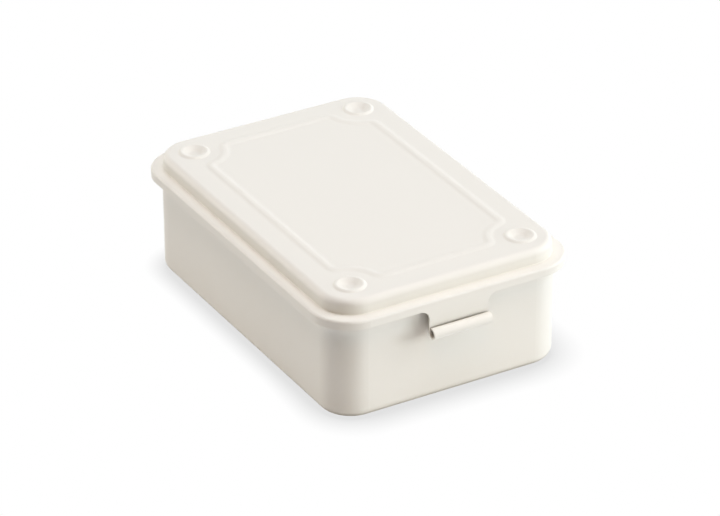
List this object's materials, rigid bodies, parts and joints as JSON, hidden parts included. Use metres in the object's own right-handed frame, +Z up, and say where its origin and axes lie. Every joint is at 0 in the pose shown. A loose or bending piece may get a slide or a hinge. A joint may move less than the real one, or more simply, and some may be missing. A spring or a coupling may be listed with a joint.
{
  "type": "steel toolbox",
  "caption": "Small pressed steel toolbox: a flared drawn body, a hinged lid with a raised outline bead and ring bosses, and a latch tab that ends in a finger curl.",
  "frame": {"origin": "centre of the base, on the surface that the box stands on, midway between the ends of the rim and midway between its sides", "axes": "+Z up, -Y towards the latch, +Y towards the hinge, X along the hinge pin"},
  "size_m": [0.1066, 0.1577, 0.0507],
  "materials": {
    "coated_shell": "satin cream-white powder coat on steel sheet",
    "pin_wire": "plain drawn wire"
  },
  "bodies": {
    "body": {"body": "coated_shell", "hinge_pin": "pin_wire"},
    "lid": {"lid": "coated_shell"}
  },
  "joints": [
    {"name": "lid_hinge", "type": "hinge", "parent": "body", "child": "lid", "pos_m": [0, 0.07545, 0.0415], "axis": [-1, 0, 0], "range_deg": [0, 103]}
  ]
}
